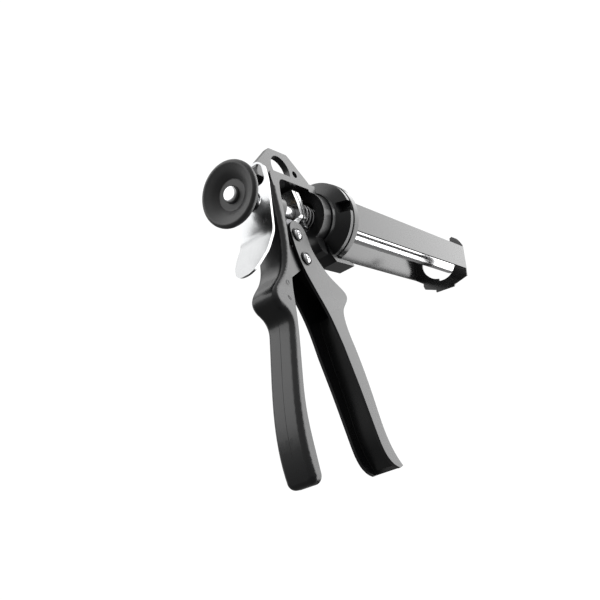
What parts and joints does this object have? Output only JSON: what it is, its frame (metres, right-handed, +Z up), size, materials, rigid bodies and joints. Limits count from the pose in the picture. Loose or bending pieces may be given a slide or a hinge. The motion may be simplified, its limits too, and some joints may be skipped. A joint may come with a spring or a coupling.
{
  "type": "caulking gun",
  "caption": "Manual caulking gun with a turning open cradle, long push rod with dish knob, lever trigger, thumb release lever and a hanging fin.",
  "frame": {"origin": "on the push rod's axis, in the plane where the cartridge's base sits in the cradle", "axes": "+X along the push rod towards the nozzle, +Y to the gun's left, +Z up, handle pointing down"},
  "size_m": [0.366, 0.066, 0.2589],
  "materials": {
    "black_enamel": "satin black enamel",
    "black_sheet_paint": "gloss black paint on sheet steel",
    "black_plastic": "satin moulded plastic",
    "bright_steel": "drawn and ground",
    "zinc_plate": "bright zinc plate",
    "screw_zinc": "bright plated",
    "spring_steel": "oiled spring wire",
    "hard_steel": "blued, case hardened",
    "bush_bronze": "sintered",
    "white_nylon": "natural nylon"
  },
  "bodies": {
    "body": {"body_casting": "black_enamel", "flared_collar": "black_enamel", "collar_screws": "screw_zinc", "front_bush": "bush_bronze", "rear_bush": "bush_bronze", "swivel_washer": "white_nylon", "retaining_ring": "spring_steel"},
    "rod": {"push_rod": "bright_steel", "pull_knob": "black_plastic", "knob_pin": "bright_steel"},
    "cradle": {"cradle_back_plate": "black_sheet_paint", "cradle_side_right": "black_sheet_paint", "cradle_side_left": "black_sheet_paint", "cradle_rivets": "black_sheet_paint"},
    "plates": {"drive_plate_rear": "zinc_plate", "drive_plate_front": "zinc_plate", "drive_spring": "spring_steel"},
    "lever": {"release_lever": "zinc_plate", "lever_spring": "spring_steel"},
    "trigger": {"trigger": "black_enamel", "pivot_sleeve": "bright_steel", "pusher_sleeve": "bright_steel", "trigger_screws_right": "screw_zinc", "trigger_screws_left": "screw_zinc"},
    "dog": {"push_dog": "hard_steel"}
  },
  "joints": [
    {"name": "rod_slide", "type": "slide", "parent": "body", "child": "rod", "axis": [-1, 0, 0], "range_m": [-0.006, 0.243]},
    {"name": "cradle_turn", "type": "hinge", "parent": "body", "child": "cradle", "pos_m": [0, 0, 0], "axis": [1, 0, 0], "continuous": true},
    {"name": "trigger_squeeze", "type": "hinge", "parent": "body", "child": "trigger", "pos_m": [-0.0563, 0, -0.0444], "axis": [0, 1, 0], "range_deg": [0, 18], "stiffness_Nm_per_rad": 2, "springref_deg": -17.19},
    {"name": "dog_swing", "type": "hinge", "parent": "trigger", "child": "dog", "pos_m": [-0.0592, 0, -0.0256], "axis": [0, 1, 0], "range_deg": [-19, 1]},
    {"name": "plates_slide", "type": "slide", "parent": "body", "child": "plates", "axis": [1, 0, 0], "range_m": [-0.0005, 0.0065], "deforming": ["drive_spring"]},
    {"name": "lever_press", "type": "hinge", "parent": "body", "child": "lever", "pos_m": [-0.0834, 0, 0.027], "axis": [0, -1, 0], "range_deg": [0, 8], "stiffness_Nm_per_rad": 0.6, "springref_deg": -11.46, "deforming": ["lever_spring"]}
  ],
  "couplings": [
    {"joint": "dog_swing", "follows": "trigger_squeeze", "ratio": -1},
    {"joint": "plates_slide", "follows": "trigger_squeeze", "m_per_rad": 0.01894}
  ]
}
